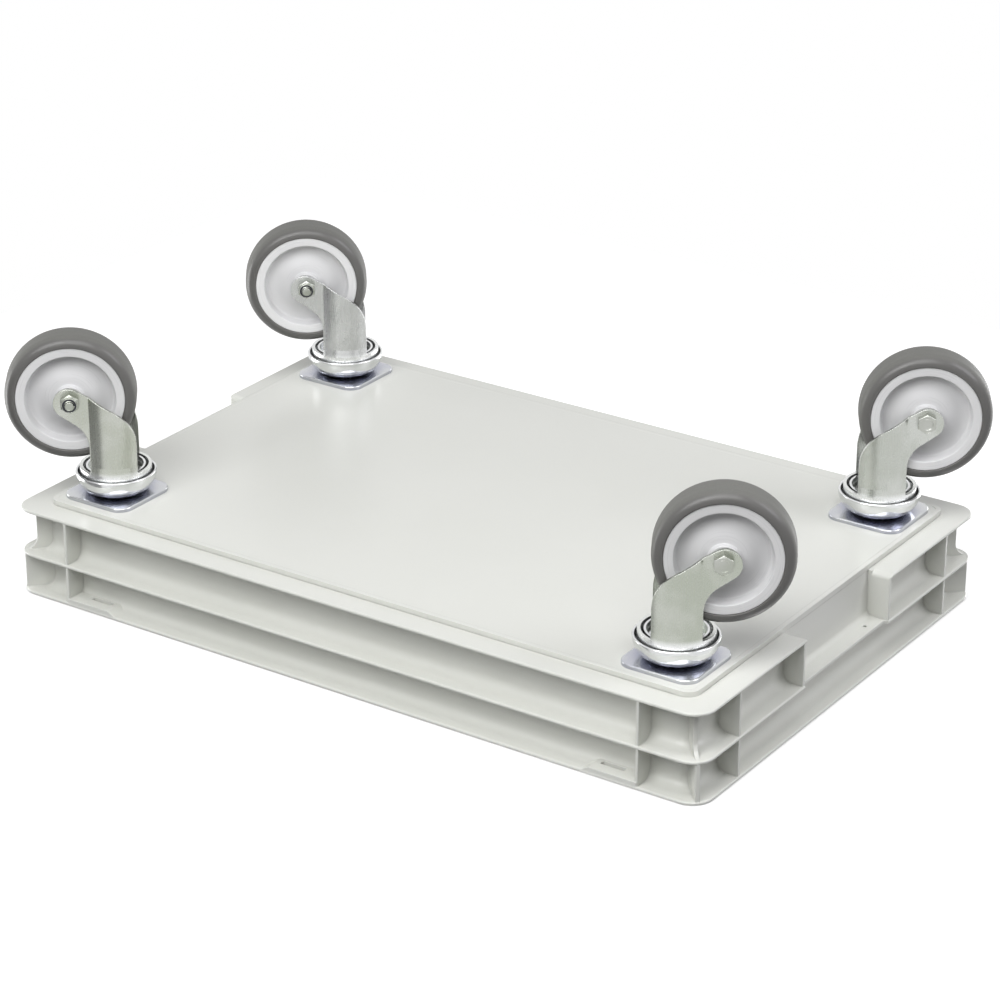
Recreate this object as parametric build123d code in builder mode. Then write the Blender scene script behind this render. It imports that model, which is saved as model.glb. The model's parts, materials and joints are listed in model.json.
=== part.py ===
from build123d import *
from math import cos, radians, sin, sqrt, tan
import os

# Crate dolly: a shallow stacking tray, open at the top, bolted to four swivel casters.
# Millimetres, +Z up, floor at Z = 0, the tray's centre on the Z axis, long sides along X.
# Front is -Y and left is -X. The model stands on its wheels.

# Tray
tray_length = 600.0
tray_width = 400.0
tray_height = 73.0
tray_corner_r = 17.0
flange_t = 2.5
flange_edge_r = 1.1
base_flange_lift = 4.0
mid_flange_lift = 39.8
wall_recess = 17.0
wall_t = 2.5
wall_corner_r = 12.0
wall_root_r = 2.5
wall_sweep_r = 8.0
floor_t = 3.2
floor_root_r = 6.0
rim_inner_r = 0.8

# Foot below the base flange, which nests in the rim of a tray below
foot_recess = 19.0
foot_corner_r = 14.0
foot_edge_r = 3.8

# Ribs between the flanges, with their places measured from the tray's ends
rib_t = 2.0
rib_inset = 0.8
long_side_rib_from_end = 50.5
short_side_rib_from_end = 51.0
corner_web_t = 3.0
corner_web_inset = 0.6
corner_neck_depth = 10.4
corner_neck_r_low = 7.0
corner_neck_r_high = 9.5

# Grip notches in the short sides, under the middle flange
notch_length = 122.0
notch_mouth_r = 4.5
notch_wall_t = 2.1
notch_wall_inset = 1.0
notch_back_recess_low = 19.3
notch_back_recess_high = 18.0
notch_back_t = 3.0
ledge_root_r = 4.0
ledge_inset = 3.6
ledge_end_r = 3.0
drain_hole_d = 3.0
drain_hole_recess = 10.5
drain_hole_from_middle = 44.0

# Slots through the rim, each in a raised pad that runs from the nearest rib
slot_length = 19.0
slot_width = 4.2
slot_from_end = 75.0
slot_recess = 11.4
slot_corner_r = 1.0
pad_rise = 3.2
pad_inset = 0.3
pad_past_slot = 4.0
pad_ramp = 6.0

# Casters
wheel_d = 97.0
swivel_head_height = 30.3
caster_trail = 30.2
caster_from_end = 55.0
caster_from_side = 56.5
caster_plate = 60.0
caster_plate_t = 3.0
caster_plate_corner_r = 11.0
caster_plate_edge_r = 1.0
front_left_heading = 150.3
front_right_heading = -37.8
rear_left_heading = 149.0
rear_right_heading = -37.6

# Swivel head: a bowl over a ball race, the fork's crown, a second ball race and a dish
ball_d = 5.0
ball_clearance = 0.3
upper_ball_pitch_r = 15.5
upper_ball_count = 17
lower_ball_pitch_r = 15.5
lower_ball_count = 17
bowl_sheet = 1.8
bowl_gap = 1.6
bowl_seat_r = 17.5
bowl_depth = 17.0
bowl_bulge = 3.8
crown_r = 26.9
crown_depth = 21.0
crown_corner_r = 6.0
crown_hole_clearance = 1.5
dish_sheet = 1.8
dish_gap = 2.1
dish_rim_depth = 20.7
dish_corner_r = 2.6
king_pin_r = 8.0
king_pin_bore_r = 5.2
king_pin_flange_r = 11.0
king_pin_flange_t = 2.4

# Fork legs
fork_sheet = 2.5
leg_set_in = 1.5
leg_flare_depth = 6.0
leg_gap = 33.0
leg_front = 17.0
leg_back = 17.6
leg_crease_r = 2.0
leg_front_slope = 30.0
leg_back_slope = 36.0
leg_front_bend_r = 34.0
leg_back_bend_r = 22.0
leg_flare_bite = 0.1
leg_lobe_r = 11.2
lobe_past_axle = 1.3
lobe_above_axle = 1.5

# Axle: a hexagon bolt in a sleeve, with a locking nut
axle_d = 8.0
axle_head_flats = 13.0
axle_head_t = 5.3
axle_nut_t = 7.6
axle_insert_t = 1.9
axle_insert_r = 5.3
axle_nut_lip = 0.6
axle_end = 1.6
axle_hole_clearance = 0.2
sleeve_r = 6.0
thread_clearance = 0.05
hub_clearance = 0.06
hub_end_clearance = 0.5

# Wheel and tyre
tyre_width = 30.0
tyre_shoulder_r = 6.5
tyre_key_depth = 4.0
tyre_key_half_width = 5.0
tyre_edge_r = 1.2
tyre_t = 8.1
rim_land = 6.6
rim_half_width = 14.2
rim_lip_r = 1.4
rim_lip_lean = 0.2
web_recess = 8.5
web_valley_inset = 5.0
web_shoulder_r = 20.5
web_shoulder_half_width = 11.2
web_boss_r = 12.5
web_boss_half_width = 13.0
web_boss_lean = 0.2
hub_r = 10.8

# Mounting fixings
bolt_d = 10.0
bolt_hole_clearance = 0.25
bolt_head_flats = 17.0
bolt_head_t = 6.4
bolt_length = 40.0
washer_d = 30.0
washer_t = 2.5
nut_t = 8.4
hex_chamfer = 0.6

# Heights
caster_height = wheel_d + swivel_head_height
deck_z = caster_height + caster_plate_t
rim_top = deck_z + tray_height
floor_z = deck_z + floor_t
base_z = deck_z + base_flange_lift
mid_z = deck_z + mid_flange_lift
rim_z = rim_top - flange_t
axle_z = wheel_d / 2
race_z = caster_height - bowl_sheet
bowl_edge = caster_height - bowl_depth
crown_top = race_z - ball_d - ball_clearance
crown_under = crown_top - fork_sheet
crown_edge = caster_height - crown_depth
dish_top = crown_under - ball_clearance - ball_d
dish_under = dish_top - dish_sheet
dish_rim = caster_height - dish_rim_depth
king_pin_end = dish_under - king_pin_flange_t

# Plan sizes
wall_length = tray_length - 2 * wall_recess
wall_width = tray_width - 2 * wall_recess
foot_length = tray_length - 2 * foot_recess
foot_width = tray_width - 2 * foot_recess
cavity_length = wall_length - 2 * wall_t
cavity_width = wall_width - 2 * wall_t
cavity_corner_r = wall_corner_r - wall_t
bowl_rim_r = crown_r + bowl_gap + bowl_sheet
dish_r = crown_r - fork_sheet - dish_gap
leg_r = crown_r - leg_set_in
leg_inner = leg_gap / 2
leg_outer = leg_inner + fork_sheet
rim_r = wheel_d / 2 - tyre_t
rim_land_r = rim_r - rim_land
bolt_hole_r = bolt_d / 2 + bolt_hole_clearance
caster_x = tray_length / 2 - caster_from_end
caster_y = tray_width / 2 - caster_from_side
sides = (-1, 1)
corners = (
    ("front_left", -caster_x, -caster_y, front_left_heading),
    ("front_right", caster_x, -caster_y, front_right_heading),
    ("rear_left", -caster_x, caster_y, rear_left_heading),
    ("rear_right", caster_x, caster_y, rear_right_heading),
)
caster_places = [(x, y) for _, x, y, _ in corners]

os.makedirs("parts", exist_ok=True)


def write(name, piece):
    """Label a finished piece and write its file."""
    piece.part.label = name
    export_step(piece.part, f"parts/{name}.step")


def write_casters(name, piece, follows_fork=True):
    """Write a caster's piece at each corner, turned to that caster's heading if it swivels."""
    for corner, x, y, heading in corners:
        turn = heading if follows_fork else 0
        place = Plane((x, y, 0)).rotated((0, 0, turn))
        with BuildPart(place) as placed:
            add(piece.part)
        write(f"{corner}_{name}", placed)


# Tray

def make_flange(bottom):
    """A flange plate with rounded edges."""
    with BuildPart() as flange:
        with BuildSketch(Plane.XY.offset(bottom)):
            RectangleRounded(tray_length, tray_width, tray_corner_r)
        extrude(amount=flange_t)
        fillet(flange.edges().filter_by(Axis.Z, reverse=True), flange_edge_r)
    return flange


def corner_web_plane(side_x, side_y):
    """An upright plane along a corner's diagonal, from the centre of the corner's arc."""
    centre_x = side_x * (tray_length / 2 - tray_corner_r)
    centre_y = side_y * (tray_width / 2 - tray_corner_r)
    return Plane((centre_x, centre_y, 0), x_dir=(side_x, side_y, 0), z_dir=(side_y, -side_x, 0))


def within_plan(edge, length, width):
    """True for a level edge that lies inside a rectangle about the tray's middle."""
    box = edge.bounding_box()
    reach_x = max(-box.min.X, box.max.X)
    reach_y = max(-box.min.Y, box.max.Y)
    return box.size.Z < touch and reach_x < length / 2 + touch and reach_y < width / 2 + touch


def on_wall_root(edge):
    """True for an edge where the wall stands on the base flange or the middle flange."""
    level = edge.center().Z
    at_root = min(abs(level - root) for root in root_levels) < touch
    return at_root and within_plan(edge, wall_length, wall_width)


def on_wall_sweep(edge):
    """True for an edge where the wall sweeps out under the middle flange or the rim."""
    level = edge.center().Z
    at_sweep = min(abs(level - mid_z), abs(level - rim_z)) < touch
    return at_sweep and within_plan(edge, wall_length, wall_width)


def on_rim_inside(edge):
    """True for an edge of the tray's mouth."""
    return abs(edge.center().Z - rim_top) < touch and within_plan(edge, cavity_length, cavity_width)


touch = 0.01
overshoot = 1.0
root_levels = (base_z + flange_t, mid_z + flange_t)
flanges = [make_flange(bottom) for bottom in (base_z, mid_z, rim_z)]
tier_bottom = base_z + flange_t / 2
rib_reach = wall_recess - rib_inset
notch_wall_reach = wall_recess - notch_wall_inset
half_length = tray_length / 2
half_notch = notch_length / 2
rib_x = half_length - long_side_rib_from_end
slot_x = half_length - slot_from_end
pad_end = slot_x - slot_length / 2 - pad_past_slot

# The corner webs are drawn from the centre of the tray's corner arc, out along the diagonal.
wall_corner_back = (wall_recess + wall_corner_r - tray_corner_r) * sqrt(2)
web_root = wall_corner_r - wall_t - wall_corner_back
web_tip = tray_corner_r - corner_web_inset
web_neck = tray_corner_r - corner_neck_depth

with BuildPart() as inside:
    with BuildSketch(Plane.XY.offset(floor_z)):
        RectangleRounded(cavity_length, cavity_width, cavity_corner_r)
    extrude(amount=tray_height)
    fillet(inside.faces().sort_by(Axis.Z)[0].edges(), floor_root_r)

with BuildPart() as tray:
    with BuildSketch(Plane.XY.offset(deck_z)):
        RectangleRounded(foot_length, foot_width, foot_corner_r)
    extrude(amount=base_flange_lift + flange_t)
    fillet(tray.faces().sort_by(Axis.Z)[0].edges(), foot_edge_r)
    with BuildSketch(Plane.XY.offset(base_z)):
        RectangleRounded(wall_length, wall_width, wall_corner_r)
    extrude(amount=rim_top - base_z)
    add([flange.part for flange in flanges])
    fillet(tray.edges().filter_by(on_wall_root), wall_root_r)
    fillet(tray.edges().filter_by(on_wall_sweep), wall_sweep_r)

    # Ribs on the long and short sides, through both tiers
    with BuildSketch(Plane.XY.offset(tier_bottom)):
        with GridLocations(2 * rib_x, wall_width + rib_reach, 2, 2):
            Rectangle(rib_t, rib_reach)
        with GridLocations(wall_length + rib_reach, tray_width - 2 * short_side_rib_from_end, 2, 2):
            Rectangle(rib_reach, rib_t)
    extrude(amount=rim_z - base_z)

    # Raised pads for the slots, from the ribs on the long sides
    for side_x in sides:
        for side_y in sides:
            face_y = side_y * (tray_width / 2 - pad_inset)
            with BuildSketch(Plane.XZ.offset(-face_y)):
                with BuildLine():
                    Polyline(
                        (side_x * rib_x, rim_z + flange_t / 2),
                        (side_x * rib_x, rim_z - pad_rise),
                        (side_x * pad_end, rim_z - pad_rise),
                        (side_x * (pad_end - pad_ramp), rim_z),
                        (side_x * (pad_end - pad_ramp), rim_z + flange_t / 2),
                        close=True,
                    )
                make_face()
            extrude(amount=side_y * (wall_recess - pad_inset))

    # End walls of the grip notches
    with BuildSketch(Plane.XY.offset(tier_bottom)):
        with GridLocations(wall_length + notch_wall_reach, notch_length + notch_wall_t, 2, 2):
            Rectangle(notch_wall_reach, notch_wall_t)
    extrude(amount=mid_z - base_z)

    # Diagonal webs in the corners: flush under the rim, necked in the lower tier
    for side_x in sides:
        for side_y in sides:
            with BuildSketch(corner_web_plane(side_x, side_y)) as web:
                with BuildLine():
                    Polyline(
                        (web_root, tier_bottom),
                        (web_tip, tier_bottom),
                        (web_tip, base_z + flange_t),
                        (web_neck, base_z + flange_t),
                        (web_neck, mid_z),
                        (web_tip, mid_z),
                        (web_tip, rim_z + flange_t / 2),
                        (web_root, rim_z + flange_t / 2),
                        close=True,
                    )
                make_face()
                neck_low = web.vertices().sort_by_distance((web_neck, base_z + flange_t))[0]
                fillet(neck_low, corner_neck_r_low)
                neck_high = web.vertices().sort_by_distance((web_neck, mid_z))[0]
                fillet(neck_high, corner_neck_r_high)
            extrude(amount=corner_web_t / 2, both=True)

    add(inside.part, mode=Mode.SUBTRACT)
    fillet(tray.edges().filter_by(on_rim_inside), rim_inner_r)

    # Grip notches: the back wall sits a little deeper there, with a thicker skin behind it
    back_low = half_length - notch_back_recess_low
    back_high = half_length - notch_back_recess_high
    for turn in (0, 180):
        section = Plane.XZ.rotated((0, 0, turn), ordering=Extrinsic.XYZ)
        with BuildSketch(section):
            with BuildLine():
                Polyline(
                    (half_length - wall_recess, base_z),
                    (half_length - wall_recess, mid_z),
                    (back_high - notch_back_t, mid_z),
                    (back_low - notch_back_t, floor_z + floor_root_r),
                    (back_low - notch_back_t, base_z),
                    close=True,
                )
            make_face()
        extrude(amount=half_notch + notch_wall_t, both=True)
        with BuildSketch(section) as notch:
            with BuildLine():
                Polyline(
                    (back_low, deck_z - overshoot),
                    (back_low, base_z),
                    (back_high, mid_z),
                    (half_length + overshoot, mid_z),
                    (half_length + overshoot, deck_z - overshoot),
                    close=True,
                )
            make_face()
            fillet(notch.vertices().sort_by_distance((back_high, mid_z))[0], ledge_root_r)
        extrude(amount=half_notch, both=True, mode=Mode.SUBTRACT)

    # Rounded corners where the notch breaks through the base flange
    with BuildSketch(Plane.YZ.offset(-half_length - overshoot)) as mouth:
        with BuildLine():
            Polyline(
                (half_notch, base_z - overshoot),
                (half_notch + notch_mouth_r, base_z - overshoot),
                (half_notch + notch_mouth_r, base_z),
                (half_notch, base_z + notch_mouth_r),
                close=True,
            )
        make_face()
        with Locations((half_notch + notch_mouth_r, base_z + notch_mouth_r)):
            Circle(notch_mouth_r, mode=Mode.SUBTRACT)
        mirror(about=Plane.XZ)
    extrude(amount=notch_wall_reach + overshoot, mode=Mode.SUBTRACT)
    with BuildSketch(Plane.YZ.offset(half_length + overshoot)):
        add(mouth.sketch_local)
    extrude(amount=-notch_wall_reach - overshoot, mode=Mode.SUBTRACT)

    # Ledges of the notches, drain holes, rim slots and bolt holes
    with BuildSketch(Plane.XY.offset(mid_z)):
        with GridLocations(tray_length, 0, 2, 1):
            RectangleRounded(2 * ledge_inset, notch_length, ledge_end_r)
    extrude(amount=flange_t, mode=Mode.SUBTRACT)
    with BuildSketch(Plane.XY.offset(mid_z)):
        drain_x = half_length - drain_hole_recess
        with Locations((-drain_x, drain_hole_from_middle), (drain_x, -drain_hole_from_middle)):
            Circle(drain_hole_d / 2)
    extrude(amount=flange_t, mode=Mode.SUBTRACT)
    with BuildSketch(Plane.XY.offset(rim_top)):
        with GridLocations(2 * slot_x, tray_width - 2 * slot_recess, 2, 2):
            RectangleRounded(slot_length, slot_width, slot_corner_r)
    extrude(amount=-flange_t - wall_sweep_r, mode=Mode.SUBTRACT)
    with BuildSketch(Plane.XY.offset(deck_z)):
        with Locations(*caster_places):
            Circle(bolt_hole_r)
    extrude(amount=floor_t, mode=Mode.SUBTRACT)

write("tray", tray)

# Mounting fixings, one set for each caster

with BuildPart() as mounting_bolts:
    with BuildSketch(Plane.XY.offset(king_pin_end)):
        with Locations(*caster_places):
            RegularPolygon(bolt_head_flats / 2, 6, major_radius=False)
    extrude(amount=-bolt_head_t)
    chamfer(mounting_bolts.edges().group_by(Axis.Z)[0], hex_chamfer)
    with BuildSketch(Plane.XY.offset(king_pin_end)):
        with Locations(*caster_places):
            Circle(bolt_d / 2)
    extrude(amount=bolt_length)
    chamfer(mounting_bolts.edges().group_by(Axis.Z)[-1], hex_chamfer)
write("mounting_bolts", mounting_bolts)

with BuildPart() as mounting_washers:
    with BuildSketch(Plane.XY.offset(floor_z)):
        with Locations(*caster_places):
            Circle(washer_d / 2)
            Circle(bolt_hole_r, mode=Mode.SUBTRACT)
    extrude(amount=washer_t)
write("mounting_washers", mounting_washers)

with BuildPart() as mounting_nuts:
    with BuildSketch(Plane.XY.offset(floor_z + washer_t)):
        with Locations(*caster_places):
            RegularPolygon(bolt_head_flats / 2, 6, major_radius=False)
            Circle(bolt_d / 2 + thread_clearance, mode=Mode.SUBTRACT)
    extrude(amount=nut_t)
    nut_corners = mounting_nuts.edges().group_by(Axis.Z)[-1].filter_by(GeomType.LINE)
    chamfer(nut_corners, hex_chamfer)
write("mounting_nuts", mounting_nuts)

# Caster pieces, each drawn once about the swivel axis with the wheel trailing along +X

with BuildPart() as plate:
    with BuildSketch(Plane.XY.offset(caster_height)):
        RectangleRounded(caster_plate, caster_plate, caster_plate_corner_r)
        Circle(bolt_hole_r, mode=Mode.SUBTRACT)
    extrude(amount=caster_plate_t)
    lower_edges = plate.faces().sort_by(Axis.Z)[0].outer_wire().edges()
    fillet(lower_edges, caster_plate_edge_r)
write_casters("plate", plate, follows_fork=False)

with BuildPart() as upper_race:
    with BuildSketch(Plane.XZ):
        with BuildLine():
            seat = (bowl_seat_r, caster_height)
            inner_seat = (bowl_seat_r - bowl_sheet / 2, race_z)
            lip = (bowl_rim_r, bowl_edge + bowl_sheet / 2)
            inner_lip = (bowl_rim_r - bowl_sheet, bowl_edge + bowl_sheet / 2)
            Polyline(inner_seat, (king_pin_r, race_z), (king_pin_r, caster_height), seat)
            SagittaArc(seat, lip, bowl_bulge)
            ThreePointArc(lip, (bowl_rim_r - bowl_sheet / 2, bowl_edge), inner_lip)
            SagittaArc(inner_lip, inner_seat, -bowl_bulge)
        make_face()
    revolve(axis=Axis.Z)
write_casters("upper_race", upper_race)


def make_balls(pitch_r, count, height):
    """A ring of bearing balls."""
    with BuildPart(Plane.XY.offset(height)) as balls:
        with PolarLocations(pitch_r, count):
            Sphere(ball_d / 2)
    return balls


upper_balls = make_balls(upper_ball_pitch_r, upper_ball_count, race_z - ball_d / 2)
write_casters("upper_balls", upper_balls)
lower_balls = make_balls(lower_ball_pitch_r, lower_ball_count, dish_top + ball_d / 2)
write_casters("lower_balls", lower_balls)

with BuildPart() as lower_race:
    with BuildSketch(Plane.XZ) as section:
        with BuildLine():
            Polyline(
                (king_pin_r, dish_top),
                (dish_r, dish_top),
                (dish_r, dish_rim),
                (dish_r - dish_sheet, dish_rim),
                (dish_r - dish_sheet, dish_under),
                (king_pin_r, dish_under),
                close=True,
            )
        make_face()
        fillet(section.vertices().sort_by_distance((dish_r, dish_top))[0], dish_corner_r)
        inner_corner = section.vertices().sort_by_distance((dish_r - dish_sheet, dish_under))[0]
        fillet(inner_corner, dish_corner_r - dish_sheet)
    revolve(axis=Axis.Z)
write_casters("lower_race", lower_race)

with BuildPart() as king_pin:
    with BuildSketch(Plane.XY.offset(king_pin_end)):
        Circle(king_pin_flange_r)
    extrude(amount=king_pin_flange_t)
    with BuildSketch(Plane.XY.offset(king_pin_end)):
        Circle(king_pin_r)
    extrude(amount=caster_height - king_pin_end)
    with BuildSketch(Plane.XY.offset(king_pin_end)):
        Circle(king_pin_bore_r)
    extrude(amount=caster_height - king_pin_end, mode=Mode.SUBTRACT)
write_casters("king_pin", king_pin)

# Fork: a pressed crown in the swivel head with two legs bent down from it

crown_hole_r = king_pin_r + crown_hole_clearance
lobe_centre = (caster_trail + lobe_past_axle, axle_z + lobe_above_axle)
leg_end = lobe_centre[0] + leg_lobe_r + overshoot


def leg_edge(slope, side, edge_x):
    """Where a sloping edge of a leg touches the lobe, and where it meets the upright edge."""
    angle = radians(slope)
    touch_x = lobe_centre[0] + side * leg_lobe_r * sin(angle)
    touch_z = lobe_centre[1] + side * leg_lobe_r * cos(angle)
    return (touch_x, touch_z), (edge_x, touch_z + (touch_x - edge_x) * tan(angle))


front_touch, front_bend = leg_edge(leg_front_slope, -1, -leg_front)
back_touch, back_bend = leg_edge(leg_back_slope, 1, leg_back)


def arc_point(radius, x):
    """The point of a circle about the swivel axis at a place along the trail."""
    return (x, sqrt(radius**2 - x**2))


def leg_face(radius, end_y):
    """One face of a leg in plan: round the crown to a crease, then along the wheel."""
    crease = (sqrt(radius**2 - end_y**2), end_y)
    arc = ThreePointArc(arc_point(radius, -leg_front - overshoot), (0, radius), crease)
    Line(crease, (leg_end, end_y))
    return arc @ 0, crease


with BuildPart() as fork:
    with BuildSketch(Plane.XY.offset(axle_z - 2 * leg_lobe_r)) as plan:
        with BuildLine():
            outer_start, outer_crease = leg_face(leg_r, leg_outer)
            inner_start, inner_crease = leg_face(leg_r - fork_sheet, leg_inner)
            Line((leg_end, leg_outer), (leg_end, leg_inner))
            Line(outer_start, inner_start)
        make_face()
        fillet(plan.vertices().sort_by_distance(outer_crease)[0], leg_crease_r)
        fillet(plan.vertices().sort_by_distance(inner_crease)[0], leg_crease_r + fork_sheet)
        mirror(about=Plane.XZ)
    extrude(amount=crown_edge - axle_z + 2 * leg_lobe_r)

    # The legs flare out to the crown's edge
    with BuildSketch(Plane.XZ):
        with BuildLine():
            Polyline(
                (crown_r, crown_edge),
                (leg_r - leg_flare_bite, crown_edge - leg_flare_depth),
                (crown_r - fork_sheet, crown_edge - leg_flare_depth),
                (crown_r - fork_sheet, crown_edge),
                close=True,
            )
        make_face()
    revolve(axis=Axis.Z)

    # Side outline of the legs
    with BuildSketch(Plane.XZ) as outline:
        with BuildLine():
            Polyline(
                (-leg_front, crown_edge),
                front_bend,
                front_touch,
                back_touch,
                back_bend,
                (leg_back, crown_edge),
                close=True,
            )
        make_face()
        fillet(outline.vertices().sort_by_distance(front_bend)[0], leg_front_bend_r)
        fillet(outline.vertices().sort_by_distance(back_bend)[0], leg_back_bend_r)
        with Locations(lobe_centre):
            Circle(leg_lobe_r)
    extrude(amount=crown_r, both=True, mode=Mode.INTERSECT)

    # Crown
    with BuildSketch(Plane.XZ) as section:
        with BuildLine():
            Polyline(
                (crown_hole_r, crown_top),
                (crown_r, crown_top),
                (crown_r, crown_edge),
                (crown_r - fork_sheet, crown_edge),
                (crown_r - fork_sheet, crown_under),
                (crown_hole_r, crown_under),
                close=True,
            )
        make_face()
        fillet(section.vertices().sort_by_distance((crown_r, crown_top))[0], crown_corner_r)
        inner_corner = section.vertices().sort_by_distance((crown_r - fork_sheet, crown_under))[0]
        fillet(inner_corner, crown_corner_r - fork_sheet)
    revolve(axis=Axis.Z)

    # Axle hole
    with BuildSketch(Plane.XZ):
        with Locations((caster_trail, axle_z)):
            Circle(axle_d / 2 + axle_hole_clearance)
    extrude(amount=crown_r, both=True, mode=Mode.SUBTRACT)
write_casters("fork", fork)

# Axle, drawn outwards from the two faces of the fork

head_face = Plane((caster_trail, leg_outer, axle_z), x_dir=(1, 0, 0), z_dir=(0, 1, 0))
nut_face = Plane((caster_trail, -leg_outer, axle_z), x_dir=(1, 0, 0), z_dir=(0, -1, 0))

with BuildPart() as axle_bolt:
    with BuildSketch(head_face):
        RegularPolygon(axle_head_flats / 2, 6, major_radius=False, rotation=90)
    extrude(amount=axle_head_t)
    chamfer(axle_bolt.edges().group_by(Axis.Y)[-1], hex_chamfer)
    with BuildSketch(head_face):
        Circle(axle_d / 2)
    extrude(amount=-(2 * leg_outer + axle_nut_t + axle_end))
    chamfer(axle_bolt.edges().group_by(Axis.Y)[0], hex_chamfer)
write_casters("axle_bolt", axle_bolt)

with BuildPart() as axle_nut:
    with BuildSketch(nut_face):
        RegularPolygon(axle_head_flats / 2, 6, major_radius=False, rotation=90)
    extrude(amount=axle_nut_t - axle_insert_t)
    chamfer(axle_nut.edges().group_by(Axis.Y)[0], hex_chamfer)
    with BuildSketch(nut_face):
        Circle(axle_insert_r + axle_nut_lip)
    extrude(amount=axle_nut_t)
    with BuildSketch(nut_face.offset(axle_nut_t)):
        Circle(axle_insert_r)
    extrude(amount=-axle_insert_t, mode=Mode.SUBTRACT)
    with BuildSketch(nut_face):
        Circle(axle_d / 2 + thread_clearance)
    extrude(amount=axle_nut_t, mode=Mode.SUBTRACT)
write_casters("axle_nut", axle_nut)

with BuildPart() as nut_insert:
    with BuildSketch(nut_face.offset(axle_nut_t - axle_insert_t)):
        Circle(axle_insert_r)
        Circle(axle_d / 2 + thread_clearance, mode=Mode.SUBTRACT)
    extrude(amount=axle_insert_t)
write_casters("nut_insert", nut_insert)

with BuildPart() as axle_sleeve:
    with BuildSketch(head_face.offset(-fork_sheet)):
        Circle(sleeve_r)
        Circle(axle_d / 2 + axle_hole_clearance, mode=Mode.SUBTRACT)
    extrude(amount=-leg_gap)
write_casters("axle_sleeve", axle_sleeve)

# Wheel and tyre, drawn as half sections across the axle

wheel_section = Plane((caster_trail, 0, axle_z), x_dir=(0, 1, 0), z_dir=(1, 0, 0))
axle_axis = Axis((caster_trail, 0, axle_z), (0, 1, 0))
hub_half_width = leg_inner - hub_end_clearance
key_r = rim_r + tyre_key_depth
half_tyre = tyre_width / 2

with BuildPart() as wheel:
    with BuildSketch(wheel_section) as section:
        with BuildLine():
            land = (rim_half_width, rim_land_r)
            valley = (rim_half_width - web_recess, rim_land_r - web_valley_inset)
            shoulder = (web_shoulder_half_width, web_shoulder_r)
            boss = (web_boss_half_width, web_boss_r)
            Polyline(
                boss,
                (web_boss_half_width, hub_r),
                (hub_half_width, hub_r),
                (hub_half_width, sleeve_r + hub_clearance),
                (0, sleeve_r + hub_clearance),
                (0, key_r),
                (tyre_key_half_width, key_r),
                (tyre_key_half_width, rim_r),
                (rim_half_width, rim_r),
                land,
            )
            Spline(land, valley, shoulder, boss, tangents=((-1, -rim_lip_lean), (web_boss_lean, -1)))
        make_face()
        fillet(section.vertices().sort_by_distance(land)[0], rim_lip_r)
        mirror(about=Plane.YZ)
    revolve(axis=axle_axis)
write_casters("wheel", wheel)

with BuildPart() as tyre:
    with BuildSketch(wheel_section) as section:
        with BuildLine():
            Polyline(
                (0, key_r),
                (tyre_key_half_width, key_r),
                (tyre_key_half_width, rim_r),
                (half_tyre, rim_r),
                (half_tyre, wheel_d / 2),
                (0, wheel_d / 2),
                close=True,
            )
        make_face()
        fillet(section.vertices().sort_by_distance((half_tyre, wheel_d / 2))[0], tyre_shoulder_r)
        fillet(section.vertices().sort_by_distance((half_tyre, rim_r))[0], tyre_edge_r)
        mirror(about=Plane.YZ)
    revolve(axis=axle_axis)
write_casters("tyre", tyre)
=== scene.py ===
# %% [markdown]
# # A crate dolly
# A shallow stacking tray stands open on four swivel casters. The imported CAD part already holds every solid
# at its real size, so this lesson is about looks: finishes that are built from nodes, some round pieces
# that CAD keeps plainer, the light and the camera. Everything is in metres, in the part's own frame: +Z is
# up, the floor is at Z = 0 and the wheels stand on it.

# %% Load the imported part
import json
import math

import bpy
from mathutils import Matrix, Vector


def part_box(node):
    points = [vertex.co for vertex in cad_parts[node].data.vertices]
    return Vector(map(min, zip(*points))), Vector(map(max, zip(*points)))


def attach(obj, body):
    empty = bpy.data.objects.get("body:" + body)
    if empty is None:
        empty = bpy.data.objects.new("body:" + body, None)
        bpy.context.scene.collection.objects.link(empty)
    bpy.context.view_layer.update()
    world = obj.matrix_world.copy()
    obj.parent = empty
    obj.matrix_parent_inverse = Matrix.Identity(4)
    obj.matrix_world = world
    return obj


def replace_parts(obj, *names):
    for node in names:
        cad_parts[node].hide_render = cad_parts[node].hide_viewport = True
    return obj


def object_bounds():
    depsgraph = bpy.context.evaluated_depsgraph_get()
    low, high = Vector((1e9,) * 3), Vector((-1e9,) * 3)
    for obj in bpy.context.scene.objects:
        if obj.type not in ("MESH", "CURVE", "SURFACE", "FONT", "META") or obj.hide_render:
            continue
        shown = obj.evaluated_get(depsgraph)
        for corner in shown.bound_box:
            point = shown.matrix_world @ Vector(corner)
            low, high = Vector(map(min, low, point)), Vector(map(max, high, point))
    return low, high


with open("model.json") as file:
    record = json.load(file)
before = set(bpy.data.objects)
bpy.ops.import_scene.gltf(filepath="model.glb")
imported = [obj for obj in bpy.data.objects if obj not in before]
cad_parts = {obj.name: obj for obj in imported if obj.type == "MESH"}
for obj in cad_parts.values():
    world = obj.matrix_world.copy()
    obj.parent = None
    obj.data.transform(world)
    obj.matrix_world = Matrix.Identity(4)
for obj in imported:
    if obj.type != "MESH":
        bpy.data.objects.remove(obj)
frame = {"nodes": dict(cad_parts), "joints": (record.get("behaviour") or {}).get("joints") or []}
cad_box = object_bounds()
nodes = frame["nodes"]
joints = {joint["name"]: joint for joint in frame["joints"]}
corners = ("front_left", "front_right", "rear_left", "rear_right")
mm = 0.001
middle = Vector((0, 0, 0.1))

# %% [markdown]
# ## Camera
# The photograph shows the dolly upside down, resting on its rim. The part stays upright here, so the camera
# goes below it and is rolled over: its "up" points down. A constraint could aim it, but its place, turns
# and lens were worked out together from the photograph's straight edges, so they are set as they came out.

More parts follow.
